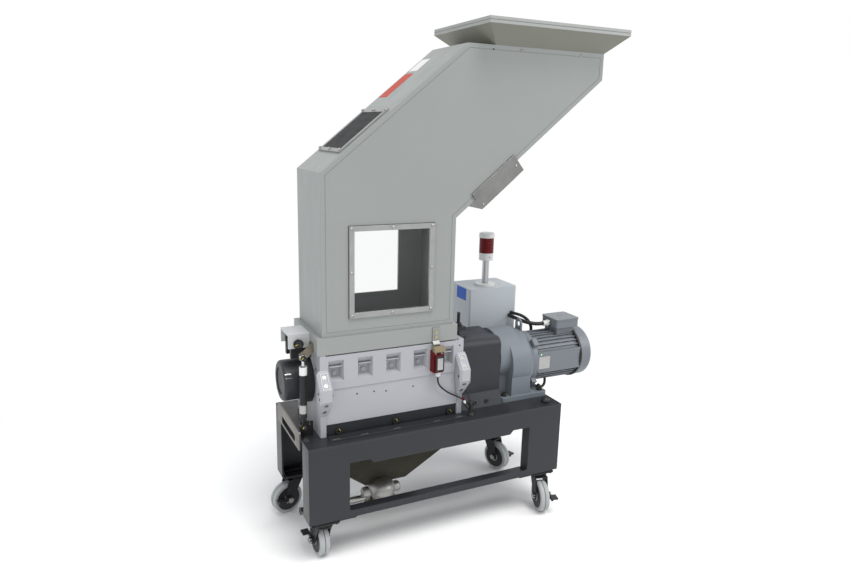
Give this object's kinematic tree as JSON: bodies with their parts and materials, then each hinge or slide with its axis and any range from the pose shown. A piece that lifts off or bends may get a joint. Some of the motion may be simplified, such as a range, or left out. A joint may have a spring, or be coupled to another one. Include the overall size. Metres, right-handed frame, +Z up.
{
  "type": "plastic granulator",
  "caption": "Beside-the-press plastic granulator on casters: tilting feed hopper over a cutting chamber, gear motor in line with the rotor, regrind funnel below",
  "frame": {"origin": "On the floor under the middle of the whole machine", "axes": "+X runs along the rotor from the hinge end to the motor, +Y from the front to the back, +Z up"},
  "size_m": [1.0766, 0.4826, 1.534],
  "materials": {
    "base_paint": "satin textured dark grey powder coat",
    "hopper_paint": "satin light grey powder coat",
    "chamber_paint": "satin near-white paint",
    "drive_paint": "satin blue-grey enamel",
    "cabinet_paint": "satin pale blue-grey powder coat",
    "bare_steel": "brushed bare steel",
    "dark_steel": "black oxide steel",
    "rod_chrome": "polished rod",
    "tyre": "light grey rubber",
    "black_plastic": "matt black plastic",
    "white_plastic": "matt white plastic",
    "red_lens": "ribbed dark red lens",
    "switch_red": "red plastic",
    "clear_pane": "clear polycarbonate",
    "dark_pane": "tinted polycarbonate"
  },
  "bodies": {
    "machine": {"base_top": "base_paint", "base_front_panel": "base_paint", "base_rear_panel": "base_paint", "left_lifting_plate": "bare_steel", "caster_carriers": "base_paint", "chamber_end_plates": "chamber_paint", "front_wall_upper": "chamber_paint", "front_wall_lower": "chamber_paint", "sill_bar": "base_paint", "rear_wall": "chamber_paint", "clamp_blocks": "chamber_paint", "rotor": "bare_steel", "bearing_housing": "base_paint", "coupling_guard": "base_paint", "gearbox": "drive_paint", "motor_body": "drive_paint", "fan_cover": "drive_paint", "terminal_box": "drive_paint", "cable_gland": "white_plastic", "control_cabinet": "cabinet_paint", "cabinet_stand": "base_paint", "tower_lens": "red_lens", "tower_body": "white_plastic", "chamber_lugs": "chamber_paint", "strut_base_bracket": "base_paint", "safety_switch": "switch_red", "regrind_funnel": "bare_steel", "outlet_housing": "bare_steel", "suction_pipe": "bare_steel", "motor_cable": "black_plastic", "switch_cable": "black_plastic"},
    "hopper": {"hopper_front_side": "hopper_paint", "hopper_rear_side": "hopper_paint", "hopper_upper_sheet": "hopper_paint", "hopper_lower_sheet": "hopper_paint", "feed_tray": "hopper_paint", "hopper_flange": "hopper_paint", "window_frames": "hopper_paint", "sight_panes": "clear_pane", "slope_pane": "dark_pane", "slope_cover": "bare_steel", "hinge_channel": "hopper_paint", "hinge_bolt": "dark_steel", "strut_hopper_bracket": "hopper_paint", "switch_actuator": "bare_steel", "latch_bolt": "bare_steel"},
    "strut_tube": {"strut_cylinder": "dark_steel"},
    "strut_piston": {"strut_rod": "rod_chrome"},
    "fork_front_left": {"caster_fork_front_left": "dark_steel"},
    "wheel_front_left": {"caster_wheel_front_left": "tyre"},
    "pedal_front_left": {"caster_pedal_front_left": "black_plastic"},
    "fork_front_right": {"caster_fork_front_right": "dark_steel"},
    "wheel_front_right": {"caster_wheel_front_right": "tyre"},
    "pedal_front_right": {"caster_pedal_front_right": "black_plastic"},
    "fork_rear_left": {"caster_fork_rear_left": "dark_steel"},
    "wheel_rear_left": {"caster_wheel_rear_left": "tyre"},
    "pedal_rear_left": {"caster_pedal_rear_left": "black_plastic"},
    "fork_rear_right": {"caster_fork_rear_right": "dark_steel"},
    "wheel_rear_right": {"caster_wheel_rear_right": "tyre"},
    "pedal_rear_right": {"caster_pedal_rear_right": "black_plastic"}
  },
  "joints": [
    {"name": "hopper_tilt", "type": "hinge", "parent": "machine", "child": "hopper", "pos_m": [-0.49302, -0.01018, 0.631], "axis": [0, -1, 0], "range_deg": [0, 60]},
    {"name": "strut_tube_swing", "type": "hinge", "parent": "machine", "child": "strut_tube", "pos_m": [-0.49202, -0.09368, 0.397], "axis": [0, -1, 0], "range_deg": [-6.74, 0]},
    {"name": "strut_piston_swing", "type": "hinge", "parent": "hopper", "child": "strut_piston", "pos_m": [-0.49002, -0.09368, 0.602], "axis": [0, -1, 0], "range_deg": [-66.74, 0]},
    {"name": "swivel_front_left", "type": "hinge", "parent": "machine", "child": "fork_front_left", "pos_m": [-0.45503, -0.15368, 0.12], "axis": [0, 0, 1], "continuous": true},
    {"name": "roll_front_left", "type": "hinge", "parent": "fork_front_left", "child": "wheel_front_left", "pos_m": [-0.45675, -0.12072, 0.05], "axis": [-0.9986, -0.0523, 0], "continuous": true},
    {"name": "brake_front_left", "type": "hinge", "parent": "fork_front_left", "child": "pedal_front_left", "pos_m": [-0.45675, -0.12072, 0.05], "axis": [-0.9986, -0.0523, 0], "range_deg": [0, 20]},
    {"name": "swivel_front_right", "type": "hinge", "parent": "machine", "child": "fork_front_right", "pos_m": [0.29197, -0.15368, 0.12], "axis": [0, 0, 1], "continuous": true},
    {"name": "roll_front_right", "type": "hinge", "parent": "fork_front_right", "child": "wheel_front_right", "pos_m": [0.28343, -0.18555, 0.05], "axis": [0.9659, -0.2588, 0], "continuous": true},
    {"name": "brake_front_right", "type": "hinge", "parent": "fork_front_right", "child": "pedal_front_right", "pos_m": [0.28343, -0.18555, 0.05], "axis": [0.9659, -0.2588, 0], "range_deg": [0, 20]},
    {"name": "swivel_rear_left", "type": "hinge", "parent": "machine", "child": "fork_rear_left", "pos_m": [-0.45503, 0.15132, 0.12], "axis": [0, 0, 1], "continuous": true},
    {"name": "roll_rear_left", "type": "hinge", "parent": "fork_rear_left", "child": "wheel_rear_left", "pos_m": [-0.48718, 0.1439, 0.05], "axis": [0.225, -0.9744, 0], "continuous": true},
    {"name": "brake_rear_left", "type": "hinge", "parent": "fork_rear_left", "child": "pedal_rear_left", "pos_m": [-0.48718, 0.1439, 0.05], "axis": [0.225, -0.9744, 0], "range_deg": [0, 20]},
    {"name": "swivel_rear_right", "type": "hinge", "parent": "machine", "child": "fork_rear_right", "pos_m": [0.29197, 0.15132, 0.12], "axis": [0, 0, 1], "continuous": true},
    {"name": "roll_rear_right", "type": "hinge", "parent": "fork_rear_right", "child": "wheel_rear_right", "pos_m": [0.30217, 0.11994, 0.05], "axis": [0.9511, 0.309, 0], "continuous": true},
    {"name": "brake_rear_right", "type": "hinge", "parent": "fork_rear_right", "child": "pedal_rear_right", "pos_m": [0.30217, 0.11994, 0.05], "axis": [0.9511, 0.309, 0], "range_deg": [0, 20]}
  ],
  "couplings": [
    {"joint": "strut_tube_swing", "follows": "hopper_tilt", "ratio": -0.109},
    {"joint": "strut_piston_swing", "follows": "hopper_tilt", "ratio": -1.109}
  ]
}
